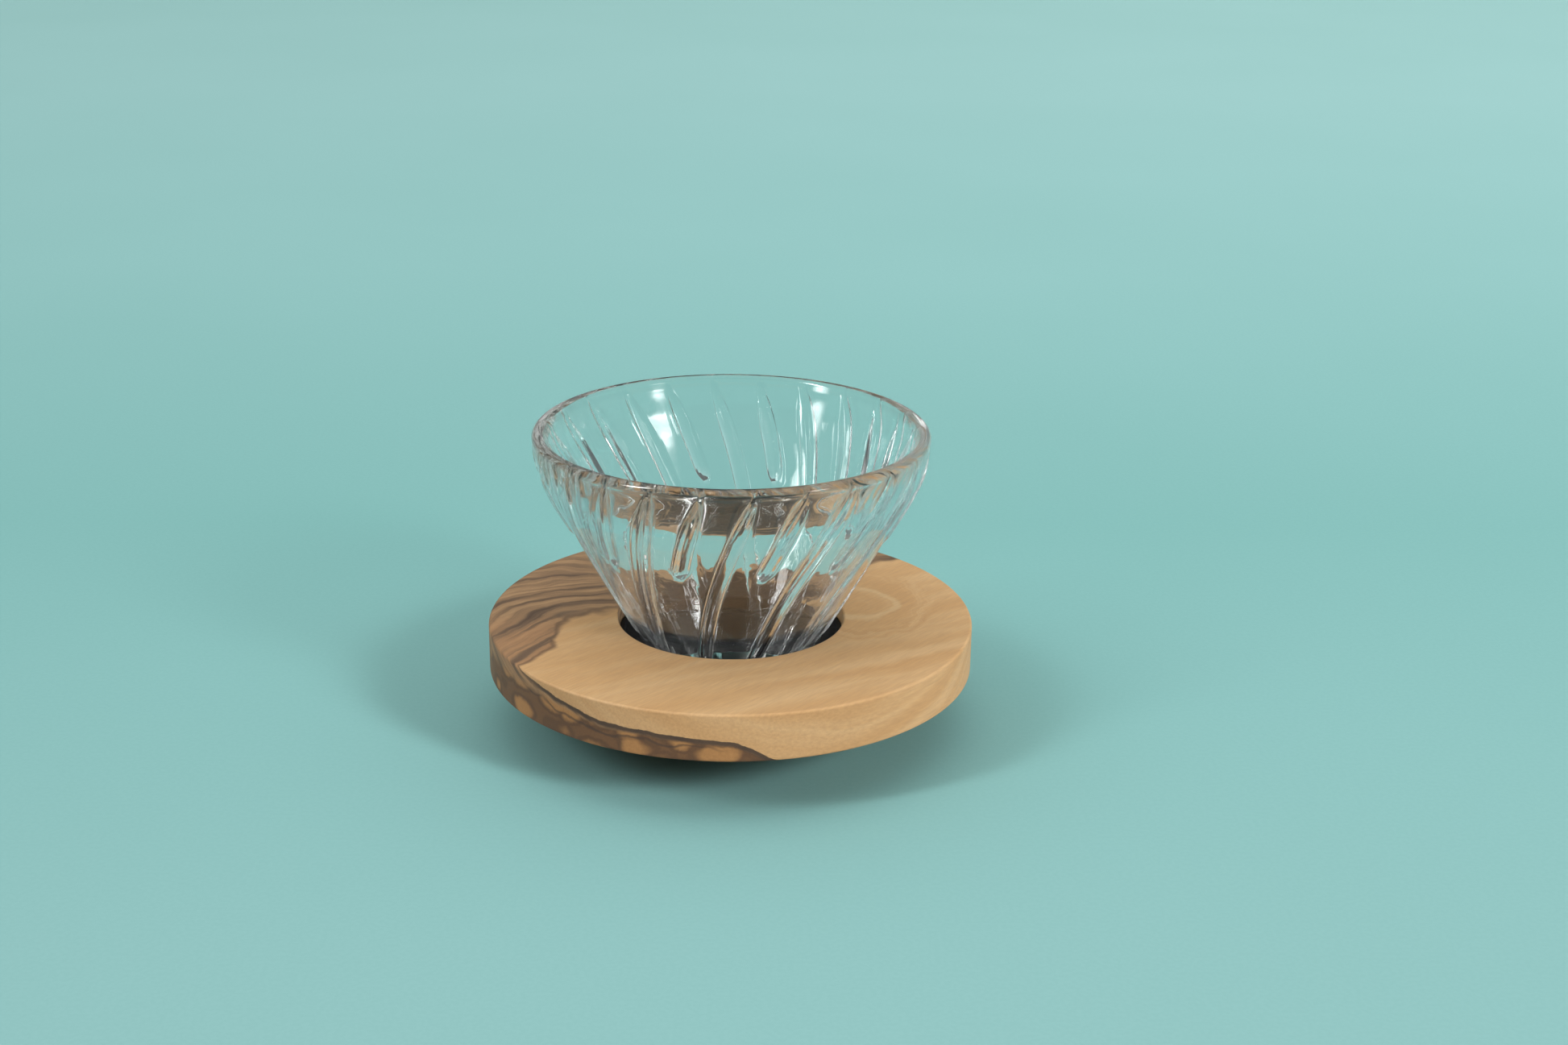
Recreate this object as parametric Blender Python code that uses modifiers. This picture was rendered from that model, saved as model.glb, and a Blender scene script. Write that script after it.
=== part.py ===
"""Pour over dripper: a ribbed glass cone in an olive wood collar, gripped by a black silicone band.

Metres, +Z up. The origin is the centre of the glass outlet's end face, on the surface that the
dripper stands on. +X is the dripper's right, seen from the front, which faces -Y.
"""

import math

import bpy
import numpy as np

# Wood collar
COLLAR_RADIUS = 0.0700
COLLAR_THICKNESS = 0.0137
COLLAR_UNDERSIDE_Z = 0.0175
COLLAR_HOLE_RADIUS = 0.0327
COLLAR_EDGE_RADIUS = 0.0007
COLLAR_TOP_Z = COLLAR_UNDERSIDE_Z + COLLAR_THICKNESS

# Glass cone. Its heights are above the collar's top face, so the outlet's are negative.
OUTER_HALF_ANGLE = math.radians(30.0)
OUTER_RADIUS_AT_COLLAR = 0.0291
OUTLET_HEIGHT = -COLLAR_TOP_Z
OUTLET_EDGE_RADIUS = 0.0004
CONE_TOP_HEIGHT = 0.0380
SHOULDER_HEIGHT = 0.0457
SHOULDER_RADIUS = 0.0546
NECK_HEIGHT = 0.0515
NECK_RADIUS = 0.0560
RIM_HEIGHT = 0.0570
RIM_RADIUS = 0.0564
LIP_RADIUS = 0.0019

# The wall, measured level: even up to the collar's top, then thicker up to its thickest height.
LOWER_WALL = 0.0022
THICKEST_WALL = 0.0064
THICKEST_HEIGHT = 0.0437
UPPER_WALL = 0.0056
UPPER_WALL_HEIGHT = 0.0495

# Spiral ribs on both faces of the glass. Every second rib stops halfway down.
RIB_COUNT = 24
RIB_LIFT_INSIDE = 0.0014
RIB_LIFT_OUTSIDE = 0.0007
RIB_TOP = 0.0545
RIB_TOP_FADE = 0.0120
RIB_FOOT_FADE = 0.0050
SHORT_RIB_FOOT = 0.0265
LONG_RIB_FOOT_OUTSIDE = -0.0040
LONG_RIB_FOOT_INSIDE = -0.0260
RIB_TURN_PER_METRE = math.radians(390.0)
RIB_START_ANGLE = math.radians(7.0)

# Silicone band: a plug in the collar's hole, with a flange under the collar
GAP = 0.0003
BAND_TOP_DEPTH = 0.0045
BAND_LIP_HEIGHT = 0.0006
BAND_LIP_WIDTH = 0.0015
BAND_FLANGE_RADIUS = 0.0375
BAND_FLANGE_THICKNESS = 0.0035
BAND_EDGE = 0.0005

# Steps of each turned piece. The glass has four to each rib.
GLASS_STEPS = 4 * RIB_COUNT
ROUND_STEPS = 72


def material(name, colour, roughness, transmission=0.0):
    """A Principled material of one colour."""
    made = bpy.data.materials.new(name)
    made.use_nodes = True
    made.diffuse_color = (*colour, 1.0)
    shader = made.node_tree.nodes["Principled BSDF"]
    shader.inputs["Base Color"].default_value = (*colour, 1.0)
    shader.inputs["Roughness"].default_value = roughness
    shader.inputs["Metallic"].default_value = 0.0
    shader.inputs["Transmission Weight"].default_value = transmission
    return made


def arc(centre, radius, start, end, count):
    """Points of a rounded corner in the half plane of radius and height. Angles in degrees."""
    angles = np.radians(np.linspace(start, end, count))
    return [(centre[0] + radius * math.cos(a), centre[1] + radius * math.sin(a)) for a in angles]


def turned(name, profile, steps, collection, finish):
    """A solid turned about the Z axis from a closed profile that runs down its outer side."""
    outline = bpy.data.meshes.new(name)
    edges = [(i, (i + 1) % len(profile)) for i in range(len(profile))]
    outline.from_pydata([(r, 0.0, z) for r, z in profile], edges, [])
    obj = bpy.data.objects.new(name, outline)
    collection.objects.link(obj)
    screw = obj.modifiers.new("turn", "SCREW")
    screw.steps = steps
    screw.render_steps = steps
    screw.use_merge_vertices = True
    screw.merge_threshold = 0.00001
    graph = bpy.context.evaluated_depsgraph_get()
    solid = bpy.data.meshes.new_from_object(obj.evaluated_get(graph))
    solid.name = name
    solid.materials.clear()
    solid.materials.append(finish)
    obj.modifiers.clear()
    obj.data = solid
    return obj


def shade_round(obj, sharp_degrees=35.0):
    """Shades the object smooth, and keeps sharp the edges above this angle."""
    obj.data.shade_smooth()
    obj.data.set_sharp_from_angle(angle=math.radians(sharp_degrees))


def collar_profile():
    """The collar's section: a flat ring with four slightly rounded edges."""
    soft = COLLAR_EDGE_RADIUS
    outer = COLLAR_RADIUS - soft
    inner = COLLAR_HOLE_RADIUS + soft
    top = COLLAR_TOP_Z - soft
    bottom = COLLAR_UNDERSIDE_Z + soft
    return (
        arc((outer, top), soft, 90, 0, 3)
        + arc((outer, bottom), soft, 0, -90, 3)
        + arc((inner, bottom), soft, -90, -180, 3)
        + arc((inner, top), soft, 180, 90, 3)
    )


def outer_radius(height):
    """The outer radius between the ribs, at a height above the collar's top."""
    cone = OUTER_RADIUS_AT_COLLAR + height * math.tan(OUTER_HALF_ANGLE)
    cone_top = OUTER_RADIUS_AT_COLLAR + CONE_TOP_HEIGHT * math.tan(OUTER_HALF_ANGLE)
    heights = (CONE_TOP_HEIGHT, SHOULDER_HEIGHT, NECK_HEIGHT)
    radii = (cone_top, SHOULDER_RADIUS, NECK_RADIUS)
    return np.where(height < CONE_TOP_HEIGHT, cone, np.interp(height, heights, radii))


def wall(height):
    """The wall's thickness between the ribs, measured level. It ends at the lip's own thickness."""
    heights = (0.0, THICKEST_HEIGHT, UPPER_WALL_HEIGHT, RIM_HEIGHT - LIP_RADIUS)
    return np.interp(height, heights, (LOWER_WALL, THICKEST_WALL, UPPER_WALL, 2.0 * LIP_RADIUS))


def glass_profile():
    """The glass's section without ribs: a cone, a steeper shoulder and a round lip."""
    lip_centre = (RIM_RADIUS - LIP_RADIUS, RIM_HEIGHT - LIP_RADIUS)
    edge = OUTLET_EDGE_RADIUS
    cone = np.linspace(CONE_TOP_HEIGHT, OUTLET_HEIGHT + edge, 12)
    upper = (NECK_HEIGHT, UPPER_WALL_HEIGHT, SHOULDER_HEIGHT, THICKEST_HEIGHT)
    heights = np.concatenate([upper, cone])
    outlet_radius = float(outer_radius(OUTLET_HEIGHT))
    outlet_face = [
        (outlet_radius - edge, OUTLET_HEIGHT),
        (outlet_radius - LOWER_WALL + edge, OUTLET_HEIGHT),
    ]
    profile = (
        arc(lip_centre, LIP_RADIUS, 180, 0, 7)
        + [(float(outer_radius(h)), h) for h in heights]
        + outlet_face
        + [(float(outer_radius(h) - wall(h)), h) for h in heights[::-1]]
    )
    return [(r, h + COLLAR_TOP_Z) for r, h in profile]


def step_up(value, start, width):
    """0 below start, 1 above start + width, and a smooth step between them."""
    t = np.clip((value - start) / width, 0.0, 1.0)
    return t * t * (3.0 - 2.0 * t)


def raise_ribs(obj):
    """Lifts the vertices on each rib's crest, and turns every ring of vertices with its height."""
    mesh = obj.data
    points = np.empty(len(mesh.vertices) * 3)
    mesh.vertices.foreach_get("co", points)
    points = points.reshape(-1, 3)
    radius = np.hypot(points[:, 0], points[:, 1])
    angle = np.arctan2(points[:, 1], points[:, 0])
    height = points[:, 2] - COLLAR_TOP_Z

    pitch = 2.0 * math.pi / RIB_COUNT
    rib = np.round(angle / pitch)
    on_crest = np.abs(angle - rib * pitch) < math.pi / GLASS_STEPS
    outside = radius > outer_radius(height) - 0.5 * wall(height)
    long_foot = np.where(outside, LONG_RIB_FOOT_OUTSIDE, LONG_RIB_FOOT_INSIDE)
    foot = np.where(np.mod(rib, 2) == 0, long_foot, SHORT_RIB_FOOT)
    below_top = 1.0 - step_up(height, RIB_TOP - RIB_TOP_FADE, RIB_TOP_FADE)
    lift = np.where(outside, RIB_LIFT_OUTSIDE, -RIB_LIFT_INSIDE)
    radius += on_crest * lift * below_top * step_up(height, foot, RIB_FOOT_FADE)

    angle += RIB_START_ANGLE - RIB_TURN_PER_METRE * (RIB_TOP - height)
    points[:, 0] = radius * np.cos(angle)
    points[:, 1] = radius * np.sin(angle)
    mesh.vertices.foreach_set("co", points.ravel())
    mesh.update()


def band_seat(z):
    """The radius of the band's bore, which follows the glass cone at a small gap."""
    return outer_radius(z - COLLAR_TOP_Z) + GAP / math.cos(OUTER_HALF_ANGLE)


def band_profile():
    """The band's section: a plug with a low lip round its top, and a flange at its foot."""
    top = COLLAR_TOP_Z - BAND_TOP_DEPTH
    lip = top + BAND_LIP_HEIGHT
    plug = COLLAR_HOLE_RADIUS - GAP
    flange_top = COLLAR_UNDERSIDE_Z - GAP
    flange_bottom = flange_top - BAND_FLANGE_THICKNESS
    soft = BAND_EDGE
    return [
        (plug - soft, lip),
        (plug, lip - soft),
        (plug, flange_top),
        (BAND_FLANGE_RADIUS - soft, flange_top),
        (BAND_FLANGE_RADIUS, flange_top - soft),
        (BAND_FLANGE_RADIUS, flange_bottom + soft),
        (BAND_FLANGE_RADIUS - soft, flange_bottom),
        (band_seat(flange_bottom), flange_bottom),
        (band_seat(top), top),
        (plug - BAND_LIP_WIDTH - soft, top),
        (plug - BAND_LIP_WIDTH, lip),
    ]


def main():
    for obj in list(bpy.data.objects):
        bpy.data.objects.remove(obj)
    dripper = bpy.data.collections.new("pour_over_dripper")
    bpy.context.scene.collection.children.link(dripper)

    wood = material("olive_wood", (0.56, 0.38, 0.20), 0.55)
    glass = material("clear_glass", (0.93, 0.97, 0.96), 0.02, transmission=1.0)
    silicone = material("black_silicone", (0.015, 0.016, 0.017), 0.45)

    collar = turned("wood_collar", collar_profile(), ROUND_STEPS, dripper, wood)
    shade_round(collar)

    cone = turned("glass_cone", glass_profile(), GLASS_STEPS, dripper, glass)
    raise_ribs(cone)
    shade_round(cone)

    band = turned("silicone_band", band_profile(), ROUND_STEPS, dripper, silicone)
    shade_round(band)


main()
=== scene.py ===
"""The pour over dripper's looks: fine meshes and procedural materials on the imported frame, a teal
paper floor, soft boxes and the camera. Metres, +Z up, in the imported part's frame: the origin is
the foot of the glass outlet, and -Y is the front."""

import math

import bpy
import numpy as np
from mathutils import Matrix, Vector


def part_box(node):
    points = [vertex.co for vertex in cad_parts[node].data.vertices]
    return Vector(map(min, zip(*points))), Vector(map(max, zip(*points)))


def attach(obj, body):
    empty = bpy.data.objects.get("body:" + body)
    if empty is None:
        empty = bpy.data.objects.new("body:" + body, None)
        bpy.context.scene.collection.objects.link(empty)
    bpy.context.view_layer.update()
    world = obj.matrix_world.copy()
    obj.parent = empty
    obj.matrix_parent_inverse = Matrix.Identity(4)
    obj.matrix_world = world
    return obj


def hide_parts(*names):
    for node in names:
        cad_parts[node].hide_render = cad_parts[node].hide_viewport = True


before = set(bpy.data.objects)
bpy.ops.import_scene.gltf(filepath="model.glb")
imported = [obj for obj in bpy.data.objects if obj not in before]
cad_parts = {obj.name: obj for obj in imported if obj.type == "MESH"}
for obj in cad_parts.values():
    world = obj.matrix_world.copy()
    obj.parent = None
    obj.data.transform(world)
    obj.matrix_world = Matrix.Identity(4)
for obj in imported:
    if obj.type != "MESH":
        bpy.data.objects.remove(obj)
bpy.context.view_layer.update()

MM = 0.001
COLLAR_LOW, COLLAR_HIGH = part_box("wood_collar")
GLASS_LOW, GLASS_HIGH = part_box("glass_cone")
BAND_LOW, BAND_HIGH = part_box("silicone_band")

# The glass's heights are measured from the collar's top face.
COLLAR_TOP = COLLAR_HIGH.z
COLLAR_RADIUS = COLLAR_HIGH.x
HOLE_RADIUS = 32.7 * MM
OUTLET_HEIGHT = GLASS_LOW.z - COLLAR_TOP
RIM_HEIGHT = GLASS_HIGH.z - COLLAR_TOP
RIM_RADIUS = 56.4 * MM


# ---------------------------------------------------------------- meshes


def ring_solid(name, grid):
    """A closed ring from a grid of points, whose rows run down the outer side and up the inner one."""
    rows, columns = grid.shape[:2]
    index = np.arange(rows * columns).reshape(rows, columns)
    below = np.roll(index, -1, 0)
    corners = (index, below, np.roll(below, -1, 1), np.roll(index, -1, 1))
    faces = np.stack(corners, -1).reshape(-1, 4)
    mesh = bpy.data.meshes.new(name)
    mesh.from_pydata(grid.reshape(-1, 3).tolist(), [], faces.tolist())
    mesh.shade_smooth()
    obj = bpy.data.objects.new(name, mesh)
    bpy.context.scene.collection.objects.link(obj)
    return obj


def turned(name, profile, steps):
    """A ring turned about the Z axis from a closed profile of (radius, z)."""
    radius, z = np.array(profile).T
    angle = np.linspace(0.0, 2.0 * math.pi, steps, endpoint=False)
    x = radius[:, None] * np.cos(angle)
    y = radius[:, None] * np.sin(angle)
    return ring_solid(name, np.stack([x, y, z[:, None] + 0.0 * x], -1))


def arc(centre, radius, start, end, count):
    """Points of an arc in the half plane of radius and height. Angles in degrees."""
    angles = np.radians(np.linspace(start, end, count))
    return [(centre[0] + radius * math.cos(a), centre[1] + radius * math.sin(a)) for a in angles]


def corner(before, at, after, soft, count=7):
    """A rounded corner between two edges, with a support point on each edge just past the arc."""
    a, b, c = (np.array(p) for p in (before, at, after))
    to_a = (a - b) / np.linalg.norm(a - b)
    to_c = (c - b) / np.linalg.norm(c - b)
    half = 0.5 * math.acos(np.clip(to_a @ to_c, -1.0, 1.0))
    reach = soft / math.tan(half)
    middle = b + (to_a + to_c) / np.linalg.norm(to_a + to_c) * soft / math.sin(half)
    start = b + to_a * reach - middle
    end = b + to_c * reach - middle
    turn = math.pi - 2.0 * half
    sign = np.sign(start[0] * end[1] - start[1] * end[0])
    points = [b + to_a * (reach + 0.35 * soft)]
    for share in np.linspace(0.0, 1.0, count):
        t = sign * turn * share
        spun = (
            start[0] * math.cos(t) - start[1] * math.sin(t),
            start[0] * math.sin(t) + start[1] * math.cos(t),
        )
        points.append(middle + spun)
    points.append(b + to_c * (reach + 0.35 * soft))
    return [tuple(p) for p in points]


def rounded(outline, softs):
    """A closed outline with every corner rounded, each by its own radius."""
    count = len(outline)
    points = []
    for i, soft in enumerate(softs):
        points += corner(outline[i - 1], outline[i], outline[(i + 1) % count], soft)
    return points


# ---------------------------------------------------------------- glass

OUTER_HALF_ANGLE = math.radians(30.0)
OUTER_SLOPE = math.tan(OUTER_HALF_ANGLE)
OUTER_AT_COLLAR = 29.1 * MM
CONE_TOP = 38.0 * MM
SHOULDER = (45.7 * MM, 54.6 * MM)
NECK = (51.5 * MM, 56.0 * MM)
LOWER_WALL = 2.2 * MM
THICKEST_HEIGHT, THICKEST_WALL = 43.7 * MM, 6.4 * MM
NECK_WALL_HEIGHT, NECK_WALL = 49.5 * MM, 5.6 * MM
LIP_RADIUS = 1.9 * MM
OUTLET_EDGE = 0.4 * MM

RIBS = 24
RIB_TURN = math.radians(390.0)
RIB_START = math.radians(7.0)
RIB_TOP = 55.5 * MM
RIB_POINT = 13.0 * MM
RIB_HALF_WIDTH = (1.9 * MM, 2.5 * MM)
RIB_LIFT_INSIDE = 1.45 * MM
RIB_LIFT_OUTSIDE = 0.7 * MM
SHORT_FOOT = 27.0 * MM
LONG_FOOT_OUTSIDE = -4.0 * MM
LONG_FOOT_INSIDE = -26.0 * MM
FOOT_LENGTH = 3.0 * MM

# Ribs widen between these heights, up to a share of the pitch. The flank is a share of half a rib.
RIB_PITCH = 2.0 * math.pi / RIBS
RIB_WIDENS = (-5.0 * MM, 55.0 * MM)
RIB_WIDEST = 0.40 * RIB_PITCH
RIB_FLANK = 0.62
RIB_CREST_FALL = 0.2
POINT_NARROWEST = 0.3
FOOT_NARROWEST = 0.5

# The mesh's columns on each rib and in each gap, and its rows on the cone, the outlet and the lip.
RIB_COLUMNS = 17
GAP_COLUMNS = 8
CONE_ROWS = 56
OUTLET_ROWS = 13
LIP_ROWS = 13


def smooth_step(value, start, width):
    """0 below start, 1 above start + width, and a smooth step between them."""
    t = np.clip((value - start) / width, 0.0, 1.0)
    return t * t * (3.0 - 2.0 * t)


def softened(height, knots, values, reach):
    """Values between knots, with each knot's kink rounded over reach on both sides."""
    spread = np.linspace(-reach, reach, 13)
    return np.mean([np.interp(height + s, knots, values) for s in spread], axis=0)


def outer_radius(height):
    """The outer radius between the ribs: a straight cone, a rounded shoulder and a steep neck."""
    low = OUTLET_HEIGHT - 10.0 * MM
    knots = [low, CONE_TOP, SHOULDER[0], NECK[0], RIM_HEIGHT]
    radii = [OUTER_AT_COLLAR + OUTER_SLOPE * h for h in knots[:2]]
    return softened(height, knots, radii + [SHOULDER[1], NECK[1], RIM_RADIUS], 2.0 * MM)


def wall(height):
    """The wall's thickness, measured level: it grows up to the shoulder, then thins to the lip."""
    knots = [0.0, THICKEST_HEIGHT, NECK_WALL_HEIGHT, RIM_HEIGHT - LIP_RADIUS]
    values = [LOWER_WALL, THICKEST_WALL, NECK_WALL, 2.0 * LIP_RADIUS]
    return softened(height, knots, values, 3.5 * MM)


def glass_rows():
    """(height, base radius, side) of each row of the glass, side being 1 outside and -1 inside."""
    lip_centre = RIM_HEIGHT - LIP_RADIUS
    upper = np.linspace(lip_centre - 0.6 * MM, -5.0 * MM, CONE_ROWS)
    lower = np.linspace(-7.0 * MM, OUTLET_HEIGHT + OUTLET_EDGE, OUTLET_ROWS)
    down = np.concatenate([upper, lower])
    outer = outer_radius(down)
    inner = outer - wall(down)
    rows = [(h, r, 1.0) for h, r in zip(down, outer)]
    foot = 0.5 * (outer[-1] + inner[-1])
    half = 0.5 * (outer[-1] - inner[-1])
    for share in (0.85, 0.0, -0.85):
        rows.append((OUTLET_HEIGHT, foot + share * half, 0.0))
    rows += [(h, r, -1.0) for h, r in zip(down[::-1], inner[::-1])]
    lip = arc((RIM_RADIUS - LIP_RADIUS, lip_centre), LIP_RADIUS, 170.0, 10.0, LIP_ROWS)
    rows += [(h, r, 0.0) for r, h in lip]
    return np.array(rows).T


def rib_shape(rib, height, side, base):
    """At each row, how far a rib reaches to each side, as an angle, and how far its crest lifts."""
    long_foot = np.where(side > 0, LONG_FOOT_OUTSIDE, LONG_FOOT_INSIDE)
    foot = np.where(rib % 2 == 1, SHORT_FOOT, long_foot)
    below_top = np.clip((RIB_TOP - height) / RIB_POINT, 0.0, 1.0)
    above_foot = np.clip((height - foot) / FOOT_LENGTH, 0.0, 1.0)
    half_width = np.interp(height, RIB_WIDENS, RIB_HALF_WIDTH)
    reach = np.minimum(half_width / base, RIB_WIDEST)
    reach = reach * np.maximum(np.sqrt(below_top), POINT_NARROWEST)
    reach = reach * np.maximum(np.sqrt(above_foot), FOOT_NARROWEST)
    lift = np.where(side > 0, RIB_LIFT_OUTSIDE, -RIB_LIFT_INSIDE) * np.abs(side)
    lift = lift * smooth_step(below_top, 0.0, 0.8) * smooth_step(above_foot, 0.0, 1.0)
    return reach, lift


def glass_cone():
    """The pressed glass: 24 spiral ribs on its wall, every second one ending halfway down."""
    height, base, side = glass_rows()
    spiral = RIB_START - RIB_TURN * (RIB_TOP - height)
    columns = []
    for rib in range(RIBS):
        reach, lift = rib_shape(rib, height, side, base)
        next_reach, _ = rib_shape(rib + 1, height, side, base)
        middle = rib * RIB_PITCH + spiral
        for u in np.linspace(-1.0, 1.0, RIB_COLUMNS):
            bulge = smooth_step(1.0 - abs(u), 0.0, RIB_FLANK) * (1.0 - RIB_CREST_FALL * u * u)
            columns.append((base + lift * bulge, middle + u * reach))
        start = middle + reach
        end = middle + RIB_PITCH - next_reach
        for share in np.linspace(0.0, 1.0, GAP_COLUMNS + 2)[1:-1]:
            columns.append((base, start + (end - start) * share))
    radius, angle = (np.stack(values, 1) for values in zip(*columns))
    z = np.repeat(height[:, None] + COLLAR_TOP, radius.shape[1], 1)
    grid = np.stack([radius * np.cos(angle), radius * np.sin(angle), z], -1)
    return ring_solid("ribbed_glass_cone", grid)


# ---------------------------------------------------------------- wood and silicone

COLLAR_EDGE = 0.7 * MM
COLLAR_STEPS = 288
BAND_STEPS = 192
BAND_GAP = 0.3 * MM
BAND_LIP_HEIGHT = 0.6 * MM
BAND_LIP_FOOT, BAND_LIP_TOP = 1.9 * MM, 1.5 * MM


def wood_collar():
    """The turned ring, with four slightly rounded edges."""
    outline = [
        (COLLAR_RADIUS, COLLAR_TOP),
        (COLLAR_RADIUS, COLLAR_LOW.z),
        (HOLE_RADIUS, COLLAR_LOW.z),
        (HOLE_RADIUS, COLLAR_TOP),
    ]
    return turned("olive_wood_collar", rounded(outline, [COLLAR_EDGE] * 4), COLLAR_STEPS)


def silicone_band():
    """A plug in the collar's hole, with a low lip round its top and a flange under the collar."""
    lip = BAND_HIGH.z
    top = lip - BAND_LIP_HEIGHT
    plug = HOLE_RADIUS - BAND_GAP
    flange = BAND_HIGH.x
    flange_top = COLLAR_LOW.z - BAND_GAP
    flange_bottom = BAND_LOW.z

    def seat(z):
        """The bore's radius, which keeps the gap to the glass cone."""
        cone = OUTER_AT_COLLAR + (z - COLLAR_TOP) * OUTER_SLOPE
        return cone + BAND_GAP / math.cos(OUTER_HALF_ANGLE)

    outline = [
        (plug, lip),
        (plug, flange_top),
        (flange, flange_top),
        (flange, flange_bottom),
        (seat(flange_bottom), flange_bottom),
        (seat(top), top),
        (plug - BAND_LIP_FOOT, top),
        (plug - BAND_LIP_TOP, lip),
    ]
    softs = [0.4, 0.15, 0.5, 0.8, 0.25, 0.2, 0.15, 0.2]
    return turned("black_silicone_band", rounded(outline, [s * MM for s in softs]), BAND_STEPS)


# ---------------------------------------------------------------- materials


class Wire:
    """An output of a node tree. Arithmetic on it adds Math nodes."""

    def __init__(self, graph, socket):
        self.graph = graph
        self.socket = socket

    def __add__(self, other):
        return self.graph.math("ADD", self, other)

    def __sub__(self, other):
        return self.graph.math("SUBTRACT", self, other)

    def __rsub__(self, other):
        return self.graph.math("SUBTRACT", other, self)

    def __mul__(self, other):
        return self.graph.math("MULTIPLY", self, other)

    def __truediv__(self, other):
        return self.graph.math("DIVIDE", self, other)


class Graph:
    """A material's or the world's node tree, built by plain calls."""

    def __init__(self, tree):
        self.tree = tree

    def node(self, kind, inputs=None, **settings):
        made = self.tree.nodes.new(kind)
        for name, value in settings.items():
            setattr(made, name, value)
        for name, value in (inputs or {}).items():
            self.feed(made.inputs[name], value)
        return made

    def feed(self, socket, value):
        if isinstance(value, Wire):
            self.tree.links.new(value.socket, socket)
        else:
            socket.default_value = value

    def wire(self, node, output=0):
        return Wire(self, node.outputs[output])

    def math(self, operation, *values):
        made = self.tree.nodes.new("ShaderNodeMath")
        made.operation = operation
        for socket, value in zip(made.inputs, values):
            self.feed(socket, value)
        return self.wire(made)

    def step(self, value, start, end, low=0.0, high=1.0):
        """A smooth step from low at start to high at end."""
        inputs = {"Value": value, "From Min": start, "From Max": end, "To Min": low, "To Max": high}
        made = self.node("ShaderNodeMapRange", inputs, interpolation_type="SMOOTHSTEP")
        return self.wire(made, "Result")

    def position(self):
        """The point in the object's own frame, in millimetres, and its three coordinates."""
        coordinates = self.node("ShaderNodeTexCoord")
        inputs = {0: self.wire(coordinates, "Object"), 3: 1.0 / MM}
        scaled = self.node("ShaderNodeVectorMath", inputs, operation="SCALE")
        split = self.node("ShaderNodeSeparateXYZ", {0: self.wire(scaled)})
        return self.wire(scaled), [self.wire(split, axis) for axis in range(3)]

    def noise(self, vector, scale, detail=2.0, roughness=0.5, distortion=0.0):
        """A noise from 0 to 1, whose scale is in features to the millimetre."""
        inputs = {"Scale": scale, "Detail": detail, "Roughness": roughness, "Distortion": distortion}
        made = self.node("ShaderNodeTexNoise", {"Vector": vector, **inputs})
        return self.wire(made, "Fac")

    def vector(self, x, y, z):
        """A vector of three numbers."""
        return self.wire(self.node("ShaderNodeCombineXYZ", {0: x, 1: y, 2: z}))

    def ramp(self, value, stops):
        """Colours at stops of (place, (red, green, blue))."""
        made = self.node("ShaderNodeValToRGB", {"Fac": value})
        elements = made.color_ramp.elements
        while len(elements) < len(stops):
            elements.new(0.5)
        for element, (place, colour) in zip(elements, stops):
            element.position = place
            element.color = (*colour, 1.0)
        return self.wire(made, "Color")

    def mix(self, share, first, second, blend="MIX"):
        """A share of the second colour blended into the first."""
        made = self.node("ShaderNodeMix", data_type="RGBA", blend_type=blend)
        for socket, value in zip((made.inputs[0], made.inputs[6], made.inputs[7]), (share, first, second)):
            if isinstance(value, tuple):
                value = (*value, 1.0)
            self.feed(socket, value)
        return self.wire(made, 2)

    def bump(self, height, strength, distance):
        """A normal from a height, whose distance is in metres."""
        inputs = {"Height": height, "Strength": strength, "Distance": distance}
        return self.wire(self.node("ShaderNodeBump", inputs), "Normal")


def new_material(name):
    """A new material, its graph and its Principled node."""
    made = bpy.data.materials.new(name)
    made.use_nodes = True
    graph = Graph(made.node_tree)
    return made, graph, made.node_tree.nodes["Principled BSDF"]


def srgb(*values):
    """A linear colour from display values of 0 to 255."""
    parts = [v / 255.0 for v in values]
    return tuple(p / 12.92 if p <= 0.04045 else ((p + 0.055) / 1.055) ** 2.4 for p in parts)


# Features of the collar's wood, in millimetres: the tip, bearing and half fan of the tongue of
# sapwood, and the middles of the darkening behind the hole, the grey cloud and the pale oval.
TONGUE_TIP = (-38.0, -20.0)
TONGUE_BEARING = math.radians(122.5)
TONGUE_FAN = math.radians(27.5)
DARKENED_SPOT_Y = 35.0
CLOUD_MIDDLE = (-43.0, -1.0)
OVAL_MIDDLE = (38.0, 8.0)


class Wood:
    """A point of the collar in millimetres, its depth, and the noises that its figure shares."""

    def __init__(self, g):
        self.g = g
        self.point, (self.x, self.y, self.z) = g.position()
        self.depth = COLLAR_TOP / MM - self.z
        self.sway = g.noise(self.point, 0.035, 2.0) - 0.5
        self.wobble = g.noise(self.point, 0.12, 2.0) - 0.5
        self.jag = g.noise(self.point, 0.45, 3.0, 0.6) - 0.5

    def side(self, on_top, on_side):
        """A value of the top face that turns into the side's value over the first 3 mm of depth."""
        return self.g.step(self.depth, 0.0, 3.0, on_top, on_side)


def growth_layer(g, wood):
    """The growth layers bend round a tongue of sapwood on the left, and run straight elsewhere."""
    from_x = wood.x - TONGUE_TIP[0]
    from_y = wood.y - TONGUE_TIP[1]
    along = from_x * math.cos(TONGUE_BEARING) + from_y * math.sin(TONGUE_BEARING)
    aside = from_y * math.cos(TONGUE_BEARING) - from_x * math.sin(TONGUE_BEARING)
    bearing = g.math("ARCTAN2", aside, along)
    kept = g.math("MINIMUM", g.math("MAXIMUM", bearing, -TONGUE_FAN), TONGUE_FAN)
    length = g.math("SQRT", from_x * from_x + from_y * from_y)
    return length * g.math("COSINE", bearing - kept)


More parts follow.
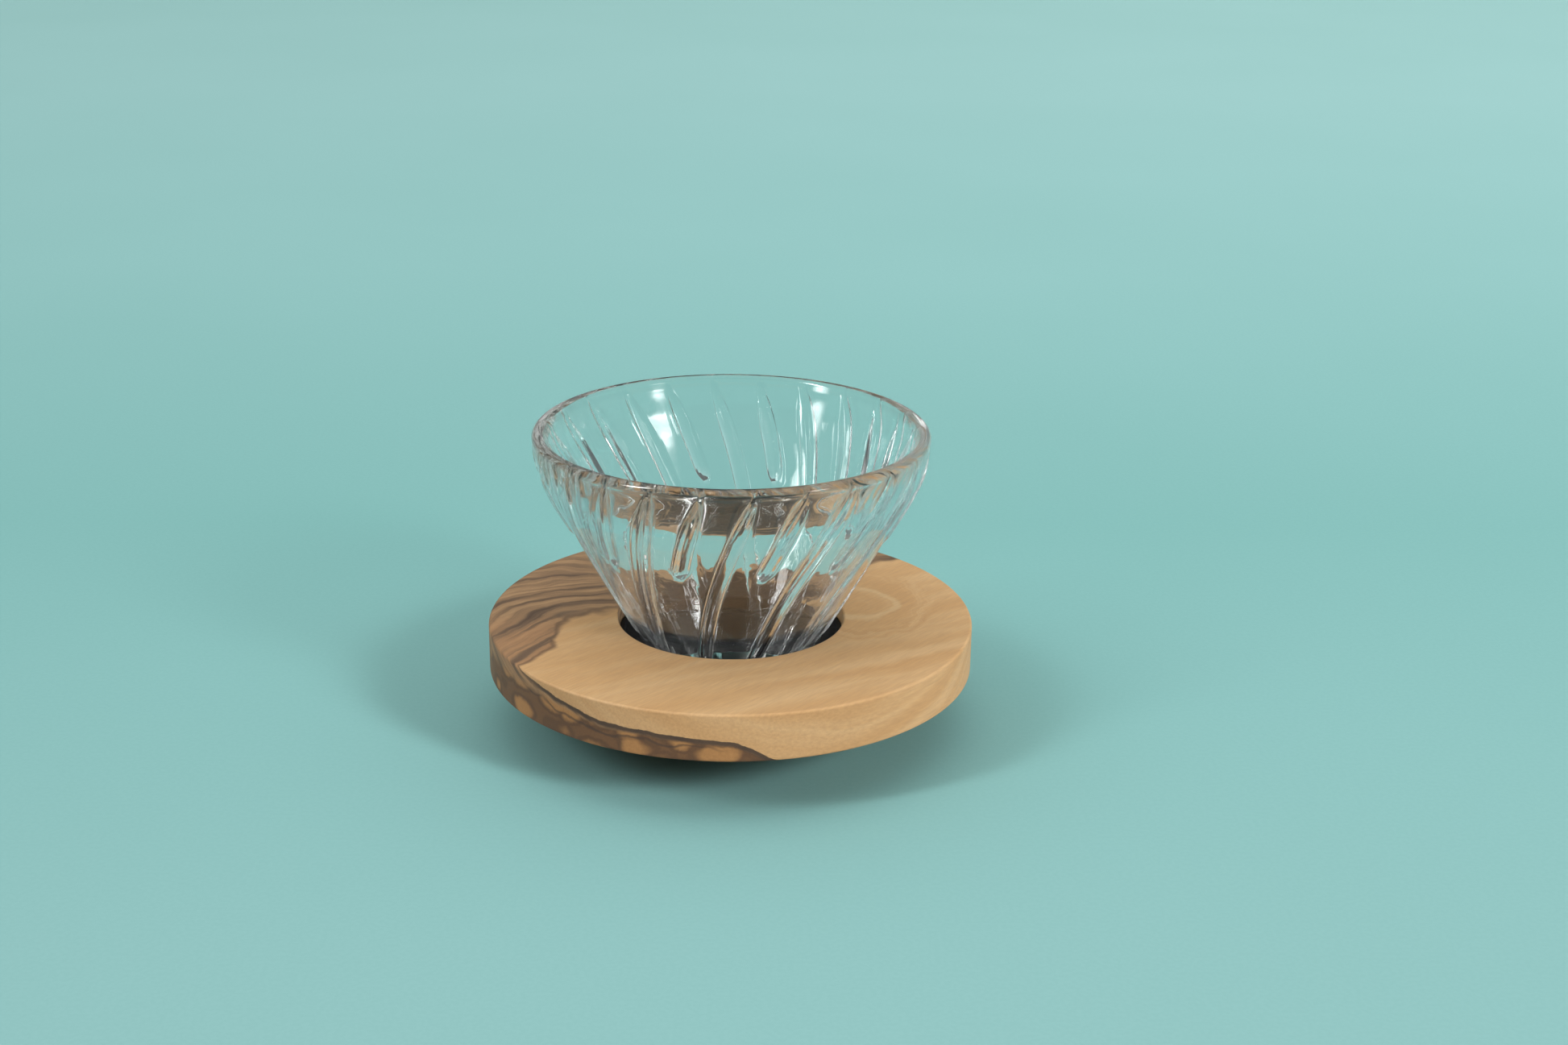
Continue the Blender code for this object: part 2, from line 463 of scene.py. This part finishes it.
def heart_depth(g, wood, layer):
    """How far the point lies inside the heartwood, in millimetres of depth."""
    x, y, depth = wood.x, wood.y, wood.depth
    back = g.math("MAXIMUM", y, -25.0) + 15.0
    right = g.math("MAXIMUM", x, 0.0)
    far_right = g.math("MAXIMUM", x - 2.0, 0.0) * g.step(y, 25.0, -5.0)
    wave = g.math("COSINE", (x + 4.0) * (2.0 * math.pi / 86.0)) * depth * 0.14
    rise = g.step(x, -40.0, -12.0) * g.step(x, 14.0, -2.0) * depth * 0.22
    inside = (layer - 13.0) * 0.18 - back * 0.09 - right * 0.05 - far_right * 0.40
    inside = inside + depth * 1.08 + wave + rise + wood.sway * 1.2
    return inside + wood.wobble * wood.side(0.7, 1.6) + wood.jag * wood.side(0.05, 0.7)


def dark_veins(g, wood, inside):
    """The dark line along the heartwood's boundary, and a fainter one below it on the left side."""
    width = wood.side(0.30, 1.7) * g.step(wood.x, -45.0, -10.0, 1.0, 1.7)
    vein = g.step(inside, -0.15, 0.12) * g.step(inside / width, 0.95, 0.40)
    lower = inside + wood.wobble * 3.0 + wood.sway * 2.0
    second = g.step(lower, 2.6, 3.1) * g.step(lower, 4.0, 3.3)
    second = second * g.step(wood.depth, 3.0, 6.0) * g.step(wood.x, 5.0, -15.0)
    return g.math("MAXIMUM", vein, second * 0.75)


def honey_blobs(g, wood):
    """Honey blobs with dark outlines over a red brown."""
    across = wood.x * 0.10 + wood.wobble * 0.9
    along = wood.y * 0.10 + wood.sway * 0.9
    down = wood.depth * 0.17 + wood.jag * 0.25
    cells = g.node("ShaderNodeTexVoronoi", {"Vector": g.vector(across, along, down), "Scale": 1.0})
    distance = g.wire(cells, "Distance")
    blob = g.step(distance, 0.56, 0.30)
    outline = g.step(distance, 0.70, 0.60) * g.step(distance, 0.44, 0.56)
    colour = g.mix(blob, srgb(116, 84, 58), srgb(170, 126, 79))
    return g.mix(outline * 0.45, colour, srgb(84, 62, 48))


def heartwood(g, wood, layer, inside):
    """Dark and light streaks that follow the growth layers and change slowly along them."""
    x, y, depth, wobble = wood.x, wood.y, wood.depth, wood.wobble
    bands = layer + depth * 2.2 + wood.sway * 14.0 + wobble * 2.5 + wood.jag * 0.5
    streak = g.noise(g.vector(bands * 0.27, x * 0.022, depth * 0.05), 1.0, 3.5, 0.58, 0.25)
    stops = [
        (0.28, srgb(92, 74, 60)),
        (0.38, srgb(112, 91, 72)),
        (0.46, srgb(134, 108, 81)),
        (0.54, srgb(152, 122, 90)),
        (0.63, srgb(167, 135, 99)),
        (0.74, srgb(180, 147, 107)),
    ]
    colour = g.ramp(streak, stops)

    # The colour is darker round a spot behind the hole.
    behind = y - DARKENED_SPOT_Y
    from_dark = g.math("SQRT", x * x + behind * behind) + wobble * 26.0 + (streak - 0.5) * 50.0
    colour = g.mix(g.step(from_dark, 36.0, 22.0) * 0.9, colour, srgb(76, 58, 54), "MULTIPLY")

    # On the front of the side, blobs show below the vein.
    below_vein = g.step(inside, 1.0, 2.2) * g.step(depth, 2.0, 6.0) * g.step(y, 0.0, -25.0)
    colour = g.mix(below_vein, colour, honey_blobs(g, wood))
    warm = g.step(y, 4.0, -16.0) * g.step(streak, 0.38, 0.60) * g.step(depth, 4.0, 0.0)
    colour = g.mix(warm * 0.35, colour, srgb(170, 122, 82))

    # A grey cloud where the boundary turns towards the hole.
    cloud_x = (x - CLOUD_MIDDLE[0]) * 0.11
    cloud_y = (y - CLOUD_MIDDLE[1]) * 0.22
    cloud = g.step(cloud_x * cloud_x + cloud_y * cloud_y + wobble * 1.5, 1.0, 0.2)
    return g.mix(cloud * g.step(inside, 0.0, 0.5) * 0.75, colour, srgb(98, 84, 72))


def sapwood(g, wood):
    """Honey, with faint diagonal bands and one pale oval figure on the right."""
    x, y = wood.x, wood.y
    oval_x = (x - OVAL_MIDDLE[0]) * 0.10
    oval_y = (y - OVAL_MIDDLE[1]) * 0.083
    oval = g.math("SQRT", oval_x * oval_x + oval_y * oval_y) + wood.wobble * 0.9 + wood.jag * 0.12
    near = g.step(oval, 2.3, 1.3)
    across = (y * 0.90 - x * 0.44) * (1.0 - near) + oval * near * 13.0
    across = (across + wood.sway * 10.0 + wood.depth * 1.5) * 0.13
    faint = g.noise(g.vector(across, x * 0.012, y * 0.012), 1.0, 2.5, 0.5)
    stops = [
        (0.30, srgb(192, 152, 104)),
        (0.50, srgb(197, 159, 112)),
        (0.70, srgb(204, 169, 124)),
    ]
    ring = g.step(oval, 0.72, 0.94) * g.step(oval, 1.20, 0.98) * g.step(x - y, -5.0, 25.0)
    return g.mix(ring * 0.32, g.ramp(faint, stops), srgb(220, 198, 156))


def olive_wood():
    """Turned olive wood: sapwood, streaked heartwood and a dark vein between them."""
    made, g, shader = new_material("olive_wood")
    wood = Wood(g)
    layer = growth_layer(g, wood)
    inside = heart_depth(g, wood, layer)
    heart = g.step(inside, -0.20, 0.30)
    colour = g.mix(heart, sapwood(g, wood), heartwood(g, wood, layer, inside))
    vein = dark_veins(g, wood, inside) * wood.side(0.6, 0.92)
    colour = g.mix(vein, colour, srgb(74, 58, 50))

    # Fine fibres along the grain.
    across = (wood.y * 0.66 - wood.x * 0.75) * 1.5
    along = (wood.x * 0.66 + wood.y * 0.75) * 0.16
    fine = g.noise(g.vector(along, across, wood.z * 1.5), 1.0, 3.0, 0.6)
    shade = g.ramp(fine, [(0.3, (0.25, 0.20, 0.15)), (0.7, (1.0, 1.0, 1.0))])
    g.feed(shader.inputs["Base Color"], g.mix(0.22, colour, shade, "MULTIPLY"))
    g.feed(shader.inputs["Roughness"], g.step(fine, 0.3, 0.7, 0.52, 0.62))
    g.feed(shader.inputs["Normal"], g.bump(fine, 0.25, 0.0001))
    shader.inputs["Specular IOR Level"].default_value = 0.4
    return made


def black_silicone():
    """Satin black silicone with a little dust."""
    made, g, shader = new_material("black_silicone")
    point, _ = g.position()
    fine = g.noise(point, 6.0, 3.0, 0.6)
    dust = g.step(g.noise(point, 2.2, 1.0), 0.72, 0.80)
    colour = g.mix(dust * 0.25, srgb(13, 14, 15), srgb(70, 70, 68))
    g.feed(shader.inputs["Base Color"], colour)
    g.feed(shader.inputs["Roughness"], g.step(g.noise(point, 0.3), 0.3, 0.7, 0.46, 0.58))
    shader.inputs["Specular IOR Level"].default_value = 0.10
    g.feed(shader.inputs["Normal"], g.bump(fine, 0.15, 0.0001))
    return made


def clear_glass():
    """Clear glass that lets the lamps' light through to what stands behind it."""
    made, g, shader = new_material("clear_glass")
    shader.inputs["Base Color"].default_value = (0.985, 0.995, 0.992, 1.0)
    shader.inputs["Roughness"].default_value = 0.0
    shader.inputs["IOR"].default_value = 1.51
    shader.inputs["Transmission Weight"].default_value = 1.0
    point, (x, y, z) = g.position()

    # Slow waves, and fine upright lines from the mould that are deepest near the collar.
    radius = g.math("SQRT", x * x + y * y)
    mould_lines = g.noise(g.vector(x / radius * 26.0, y / radius * 26.0, z * 0.04), 1.0, 1.5, 0.5)
    mould_lines = mould_lines * g.step(z, COLLAR_TOP / MM + 24.0, COLLAR_TOP / MM + 8.0, 1.0, 3.5)
    waves = g.bump(g.noise(point, 0.12, 2.0), 0.2, 0.0004)
    inputs = {"Height": mould_lines, "Strength": 1.0, "Distance": 0.00001, "Normal": waves}
    lines = g.node("ShaderNodeBump", inputs)
    g.feed(shader.inputs["Normal"], g.wire(lines))
    thin = g.node("ShaderNodeBsdfTransparent", {"Color": (0.86, 0.87, 0.87, 1.0)})
    path = g.node("ShaderNodeLightPath")
    mixed = g.node("ShaderNodeMixShader")
    g.feed(mixed.inputs[0], g.wire(path, "Is Shadow Ray"))
    g.feed(mixed.inputs[1], g.wire(shader))
    g.feed(mixed.inputs[2], g.wire(thin))
    output = made.node_tree.nodes["Material Output"]
    g.feed(output.inputs["Surface"], g.wire(mixed))
    return made


def teal_paper():
    """Teal paper with painted shade, a little darker round the dripper and to the left."""
    made, g, shader = new_material("teal_paper")
    point, (point_x, point_y, _) = g.position()
    mottle = g.noise(point, 0.004, 3.0)
    speckle = g.noise(point, 0.8, 2.0)
    colour = g.mix(mottle, srgb(174, 228, 222), srgb(180, 233, 228))
    colour = g.mix(g.step(speckle, 0.35, 0.65, 0.0, 0.10), colour, srgb(150, 206, 200))
    # Painted shade along the paper: darkest just behind the dripper, lighter to the front and the far
    # back.
    painted_shade_along = g.ramp(
        (point_y + 1700.0) * 0.00045,
        [
            (0.03, (0.52, 0.55, 0.57)),
            (0.165, (0.45, 0.53, 0.54)),
            (0.34, (0.57, 0.60, 0.62)),
            (0.64, (0.67, 0.655, 0.68)),
            (1.00, (0.70, 0.68, 0.70)),
        ],
    )
    colour = g.mix(1.0, colour, painted_shade_along, "MULTIPLY")
    # Painted shade across the paper: darker to the left, lighter to the right.
    painted_light_to_right = g.step(point_x, -900.0, 900.0)
    colour = g.mix(painted_light_to_right, g.mix(1.0, colour, (0.84, 0.85, 0.85), "MULTIPLY"), colour)

    # The paper throws a neutral light back onto the dripper.
    bounce = g.wire(g.node("ShaderNodeLightPath"), "Is Diffuse Ray")
    colour = g.mix(bounce, colour, srgb(176, 172, 164))

    g.feed(shader.inputs["Base Color"], colour)
    shader.inputs["Roughness"].default_value = 0.9
    shader.inputs["Specular IOR Level"].default_value = 0.1
    return made


# ---------------------------------------------------------------- studio

# Metres from the dripper to each lamp, and how much brighter a lamp's middle is than an even lamp.
LAMP_DISTANCE = 10.0
LAMP_CORE = 4.4


def paper_floor():
    """The wide paper that the dripper stands on."""
    bpy.ops.mesh.primitive_plane_add(size=40.0, location=(0.0, 1.5, GLASS_LOW.z))
    floor = bpy.context.active_object
    floor.name = "paper_floor"
    floor.data.materials.append(teal_paper())


def soft_box(name, azimuth, elevation, width, height, radiance, focus=1.15, mirrored=True):
    """An area lamp that faces the dripper, brightest in its middle. Its azimuth is from +X.

    A higher focus narrows the bright middle. A lamp that isn't mirrored leaves no reflection.
    """
    lamp = bpy.data.lights.new(name, "AREA")
    lamp.shape = "RECTANGLE"
    lamp.size = width
    lamp.size_y = height
    lamp.energy = radiance * math.pi * width * height
    lamp.use_nodes = True
    g = Graph(lamp.node_tree)
    across_lamp = g.wire(g.node("ShaderNodeNewGeometry"), "Parametric")
    place = g.node("ShaderNodeSeparateXYZ", {0: across_lamp})
    glow = LAMP_CORE
    for axis in range(2):
        from_middle = g.math("ABSOLUTE", g.wire(place, axis) - 0.5)
        glow = g.math("POWER", g.step(from_middle, 0.5, 0.0), focus) * glow
    g.feed(lamp.node_tree.nodes["Emission"].inputs["Strength"], glow)
    obj = bpy.data.objects.new(name, lamp)
    bpy.context.scene.collection.objects.link(obj)
    az, el = math.radians(azimuth), math.radians(elevation)
    towards = Vector((math.cos(el) * math.cos(az), math.cos(el) * math.sin(az), math.sin(el)))
    obj.location = Vector((0.0, 0.0, COLLAR_TOP)) + LAMP_DISTANCE * towards
    obj.rotation_euler = towards.to_track_quat("Z", "Y").to_euler()
    obj.visible_glossy = mirrored


def studio_world():
    """A dark room with a pale ceiling, which looks dimmer in the glass than the light that it gives."""
    world = bpy.data.worlds.new("studio")
    bpy.context.scene.world = world
    world.use_nodes = True
    g = Graph(world.node_tree)
    direction = g.wire(g.node("ShaderNodeTexCoord"), "Generated")
    split = g.node("ShaderNodeSeparateXYZ", {0: direction})
    forward, upward = g.wire(split, 1), g.wire(split, 2)
    in_front = g.step(forward, -0.25, -0.50)
    ceiling = g.step(upward, 0.60, 0.86) * (1.0 - in_front)
    room = g.mix(in_front, (0.11, 0.12, 0.12), (0.03, 0.03, 0.03))
    lighting = g.wire(g.node("ShaderNodeLightPath"), "Is Diffuse Ray")
    room = g.mix(ceiling, room, g.mix(lighting, (0.60, 0.60, 0.59), (1.85, 1.82, 1.77)))
    colour = g.mix(g.step(upward, 0.22, 0.12), room, (0.12, 0.14, 0.14))
    g.feed(world.node_tree.nodes["Background"].inputs["Color"], colour)


CAMERA_PLACE = (0.0, -588.35 * MM, COLLAR_TOP + 239.5 * MM)
CAMERA_LENS = 50.0
CAMERA_DOWN = math.radians(19.73)
CAMERA_RIGHT = math.radians(1.47)
CAMERA_ROLL = math.radians(0.75)


def camera():
    """The camera at the photograph's angle."""
    data = bpy.data.cameras.new("camera")
    data.lens = CAMERA_LENS
    data.sensor_width = 36.0
    obj = bpy.data.objects.new("camera", data)
    bpy.context.scene.collection.objects.link(obj)
    turn = Matrix.Rotation(-CAMERA_RIGHT, 4, "Z")
    tilt = Matrix.Rotation(math.pi / 2.0 - CAMERA_DOWN, 4, "X")
    roll = Matrix.Rotation(CAMERA_ROLL, 4, "Z")
    obj.matrix_world = Matrix.Translation(CAMERA_PLACE) @ turn @ tilt @ roll
    bpy.context.scene.camera = obj


GLASS_BOUNCES = 24


def main():
    """Builds the three pieces, the floor, the lights and the camera."""
    glass = glass_cone()
    glass.data.materials.append(clear_glass())
    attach(glass, "glass")
    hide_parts("glass_cone")

    collar = wood_collar()
    collar.data.materials.append(olive_wood())
    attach(collar, "collar")
    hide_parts("wood_collar")

    band = silicone_band()
    band.data.materials.append(black_silicone())
    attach(band, "band")
    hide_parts("silicone_band")

    paper_floor()
    soft_box("left_soft_box", 208.0, 38.0, 2.3, 7.0, 9.6)
    soft_box("right_soft_box", -40.0, 28.0, 3.0, 3.6, 22.0, mirrored=False)
    soft_box("right_glow", -40.0, 21.0, 3.6, 5.2, 3.9, focus=2.4)
    studio_world()
    camera()

    # Light crosses many glass surfaces. The lamps shine through by shadow rays, not by caustics.
    scene = bpy.context.scene
    scene.view_settings.view_transform = "Standard"
    scene.cycles.max_bounces = GLASS_BOUNCES
    scene.cycles.glossy_bounces = GLASS_BOUNCES
    scene.cycles.transmission_bounces = GLASS_BOUNCES
    scene.cycles.transparent_max_bounces = GLASS_BOUNCES
    scene.cycles.caustics_reflective = False
    scene.cycles.caustics_refractive = False


main()
